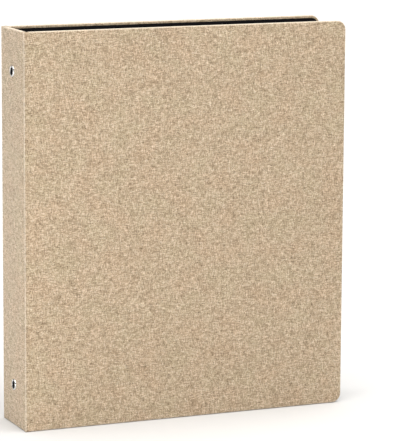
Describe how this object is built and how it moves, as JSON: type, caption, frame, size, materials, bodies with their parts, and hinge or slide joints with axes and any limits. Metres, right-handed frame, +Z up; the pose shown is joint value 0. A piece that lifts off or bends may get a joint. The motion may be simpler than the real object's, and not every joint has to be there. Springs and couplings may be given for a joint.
{
  "type": "ring-bound scrapbook album",
  "caption": "Upright three-ring scrapbook album with linen-covered boards, cloth hinges, a riveted ring mechanism with levers, and scored leaves.",
  "frame": {"origin": "centre of the bounding box at its base, on the surface the album stands on", "axes": "+Z up along the spine, +X from the spine to the fore edge, +Y from the front cover to the back cover"},
  "size_m": [0.261, 0.05, 0.298],
  "materials": {
    "linen": "woven book cloth",
    "greyboard": "matt",
    "lining": "matt",
    "page": "matt card",
    "nickel": "nickel plated"
  },
  "bodies": {
    "spine": {"spine_board": "greyboard", "spine_cloth": "linen", "spine_lining": "lining", "ring_shell": "nickel", "bottom_rivet": "nickel", "top_rivet": "nickel", "bottom_lever_pin": "nickel", "top_lever_pin": "nickel"},
    "front_cover": {"front_cover_board": "greyboard", "front_cover_cloth": "linen", "front_cover_lining": "lining"},
    "back_cover": {"back_cover_board": "greyboard", "back_cover_cloth": "linen", "back_cover_lining": "lining"},
    "front_rings": {"front_blade": "nickel", "front_ring_half_bottom": "nickel", "front_ring_half_middle": "nickel", "front_ring_half_top": "nickel"},
    "back_rings": {"back_blade": "nickel", "back_ring_half_bottom": "nickel", "back_ring_half_middle": "nickel", "back_ring_half_top": "nickel"},
    "bottom_lever": {"bottom_lever": "nickel"},
    "top_lever": {"top_lever": "nickel"},
    "front_leaf_1_strip": {"front_leaf_1_strip": "page"},
    "front_leaf_1_sheet": {"front_leaf_1_sheet": "page"},
    "front_leaf_2_strip": {"front_leaf_2_strip": "page"},
    "front_leaf_2_sheet": {"front_leaf_2_sheet": "page"},
    "front_leaf_3_strip": {"front_leaf_3_strip": "page"},
    "front_leaf_3_sheet": {"front_leaf_3_sheet": "page"},
    "front_leaf_4_strip": {"front_leaf_4_strip": "page"},
    "front_leaf_4_sheet": {"front_leaf_4_sheet": "page"},
    "front_leaf_5_strip": {"front_leaf_5_strip": "page"},
    "front_leaf_5_sheet": {"front_leaf_5_sheet": "page"},
    "back_leaf_1_strip": {"back_leaf_1_strip": "page"},
    "back_leaf_1_sheet": {"back_leaf_1_sheet": "page"},
    "back_leaf_2_strip": {"back_leaf_2_strip": "page"},
    "back_leaf_2_sheet": {"back_leaf_2_sheet": "page"},
    "back_leaf_3_strip": {"back_leaf_3_strip": "page"},
    "back_leaf_3_sheet": {"back_leaf_3_sheet": "page"},
    "back_leaf_4_strip": {"back_leaf_4_strip": "page"},
    "back_leaf_4_sheet": {"back_leaf_4_sheet": "page"},
    "back_leaf_5_strip": {"back_leaf_5_strip": "page"},
    "back_leaf_5_sheet": {"back_leaf_5_sheet": "page"}
  },
  "joints": [
    {"name": "front_cover_hinge", "type": "hinge", "parent": "spine", "child": "front_cover", "pos_m": [-0.12913, -0.0246, 0], "axis": [0, 0, -1], "range_deg": [0, 179]},
    {"name": "back_cover_hinge", "type": "hinge", "parent": "spine", "child": "back_cover", "pos_m": [-0.12913, 0.0246, 0], "axis": [0, 0, 1], "range_deg": [0, 179]},
    {"name": "front_rings_open", "type": "hinge", "parent": "spine", "child": "front_rings", "pos_m": [-0.12334, -0.0146, 0.149], "axis": [0, 0, -1], "range_deg": [0, 16]},
    {"name": "back_rings_open", "type": "hinge", "parent": "spine", "child": "back_rings", "pos_m": [-0.12334, 0.0146, 0.149], "axis": [0, 0, 1], "range_deg": [0, 16]},
    {"name": "bottom_lever_turn", "type": "hinge", "parent": "spine", "child": "bottom_lever", "pos_m": [-0.12304, 0, 0.021], "axis": [0, 1, 0], "range_deg": [0, 32]},
    {"name": "top_lever_turn", "type": "hinge", "parent": "spine", "child": "top_lever", "pos_m": [-0.12304, 0, 0.277], "axis": [0, -1, 0], "range_deg": [0, 32]},
    {"name": "front_leaf_1_turn", "type": "hinge", "parent": "front_rings", "child": "front_leaf_1_strip", "pos_m": [-0.10723, 0, 0.149], "axis": [0, 0, -1], "range_deg": [0, 24]},
    {"name": "front_leaf_1_score", "type": "hinge", "parent": "front_leaf_1_strip", "child": "front_leaf_1_sheet", "pos_m": [-0.08097, -0.001, 0.149], "axis": [0, 0, 1], "range_deg": [0, 16]},
    {"name": "front_leaf_2_turn", "type": "hinge", "parent": "front_rings", "child": "front_leaf_2_strip", "pos_m": [-0.10723, 0, 0.149], "axis": [0, 0, -1], "range_deg": [0, 40]},
    {"name": "front_leaf_2_score", "type": "hinge", "parent": "front_leaf_2_strip", "child": "front_leaf_2_sheet", "pos_m": [-0.08116, -0.0025, 0.149], "axis": [0, 0, 1], "range_deg": [0, 16]},
    {"name": "front_leaf_3_turn", "type": "hinge", "parent": "front_rings", "child": "front_leaf_3_strip", "pos_m": [-0.10723, 0, 0.149], "axis": [0, 0, -1], "range_deg": [0, 56]},
    {"name": "front_leaf_3_score", "type": "hinge", "parent": "front_leaf_3_strip", "child": "front_leaf_3_sheet", "pos_m": [-0.08151, -0.004, 0.149], "axis": [0, 0, 1], "range_deg": [0, 16]},
    {"name": "front_leaf_4_turn", "type": "hinge", "parent": "front_rings", "child": "front_leaf_4_strip", "pos_m": [-0.10723, 0, 0.149], "axis": [0, 0, -1], "range_deg": [0, 72]},
    {"name": "front_leaf_4_score", "type": "hinge", "parent": "front_leaf_4_strip", "child": "front_leaf_4_sheet", "pos_m": [-0.08203, -0.0055, 0.149], "axis": [0, 0, 1], "range_deg": [0, 16]},
    {"name": "front_leaf_5_turn", "type": "hinge", "parent": "front_rings", "child": "front_leaf_5_strip", "pos_m": [-0.10723, 0, 0.149], "axis": [0, 0, -1], "range_deg": [0, 88]},
    {"name": "front_leaf_5_score", "type": "hinge", "parent": "front_leaf_5_strip", "child": "front_leaf_5_sheet", "pos_m": [-0.08277, -0.007, 0.149], "axis": [0, 0, 1], "range_deg": [0, 16]},
    {"name": "back_leaf_1_turn", "type": "hinge", "parent": "back_rings", "child": "back_leaf_1_strip", "pos_m": [-0.10723, 0, 0.149], "axis": [0, 0, 1], "range_deg": [0, 24]},
    {"name": "back_leaf_1_score", "type": "hinge", "parent": "back_leaf_1_strip", "child": "back_leaf_1_sheet", "pos_m": [-0.08097, 0.001, 0.149], "axis": [0, 0, -1], "range_deg": [0, 16]},
    {"name": "back_leaf_2_turn", "type": "hinge", "parent": "back_rings", "child": "back_leaf_2_strip", "pos_m": [-0.10723, 0, 0.149], "axis": [0, 0, 1], "range_deg": [0, 40]},
    {"name": "back_leaf_2_score", "type": "hinge", "parent": "back_leaf_2_strip", "child": "back_leaf_2_sheet", "pos_m": [-0.08116, 0.0025, 0.149], "axis": [0, 0, -1], "range_deg": [0, 16]},
    {"name": "back_leaf_3_turn", "type": "hinge", "parent": "back_rings", "child": "back_leaf_3_strip", "pos_m": [-0.10723, 0, 0.149], "axis": [0, 0, 1], "range_deg": [0, 56]},
    {"name": "back_leaf_3_score", "type": "hinge", "parent": "back_leaf_3_strip", "child": "back_leaf_3_sheet", "pos_m": [-0.08151, 0.004, 0.149], "axis": [0, 0, -1], "range_deg": [0, 16]},
    {"name": "back_leaf_4_turn", "type": "hinge", "parent": "back_rings", "child": "back_leaf_4_strip", "pos_m": [-0.10723, 0, 0.149], "axis": [0, 0, 1], "range_deg": [0, 72]},
    {"name": "back_leaf_4_score", "type": "hinge", "parent": "back_leaf_4_strip", "child": "back_leaf_4_sheet", "pos_m": [-0.08203, 0.0055, 0.149], "axis": [0, 0, -1], "range_deg": [0, 16]},
    {"name": "back_leaf_5_turn", "type": "hinge", "parent": "back_rings", "child": "back_leaf_5_strip", "pos_m": [-0.10723, 0, 0.149], "axis": [0, 0, 1], "range_deg": [0, 88]},
    {"name": "back_leaf_5_score", "type": "hinge", "parent": "back_leaf_5_strip", "child": "back_leaf_5_sheet", "pos_m": [-0.08277, 0.007, 0.149], "axis": [0, 0, -1], "range_deg": [0, 16]}
  ],
  "couplings": [
    {"joint": "back_rings_open", "follows": "front_rings_open", "ratio": 1},
    {"joint": "bottom_lever_turn", "follows": "front_rings_open", "ratio": 2},
    {"joint": "top_lever_turn", "follows": "front_rings_open", "ratio": 2},
    {"joint": "front_leaf_1_turn", "follows": "front_cover_hinge", "ratio": 0.13408},
    {"joint": "front_leaf_1_score", "follows": "front_rings_open", "ratio": 1},
    {"joint": "front_leaf_2_turn", "follows": "front_cover_hinge", "ratio": 0.22346},
    {"joint": "front_leaf_2_score", "follows": "front_rings_open", "ratio": 1},
    {"joint": "front_leaf_3_turn", "follows": "front_cover_hinge", "ratio": 0.31285},
    {"joint": "front_leaf_3_score", "follows": "front_rings_open", "ratio": 1},
    {"joint": "front_leaf_4_turn", "follows": "front_cover_hinge", "ratio": 0.40224},
    {"joint": "front_leaf_4_score", "follows": "front_rings_open", "ratio": 1},
    {"joint": "front_leaf_5_turn", "follows": "front_cover_hinge", "ratio": 0.49162},
    {"joint": "front_leaf_5_score", "follows": "front_rings_open", "ratio": 1},
    {"joint": "back_leaf_1_turn", "follows": "back_cover_hinge", "ratio": 0.13408},
    {"joint": "back_leaf_1_score", "follows": "front_rings_open", "ratio": 1},
    {"joint": "back_leaf_2_turn", "follows": "back_cover_hinge", "ratio": 0.22346},
    {"joint": "back_leaf_2_score", "follows": "front_rings_open", "ratio": 1},
    {"joint": "back_leaf_3_turn", "follows": "back_cover_hinge", "ratio": 0.31285},
    {"joint": "back_leaf_3_score", "follows": "front_rings_open", "ratio": 1},
    {"joint": "back_leaf_4_turn", "follows": "back_cover_hinge", "ratio": 0.40224},
    {"joint": "back_leaf_4_score", "follows": "front_rings_open", "ratio": 1},
    {"joint": "back_leaf_5_turn", "follows": "back_cover_hinge", "ratio": 0.49162},
    {"joint": "back_leaf_5_score", "follows": "front_rings_open", "ratio": 1}
  ]
}
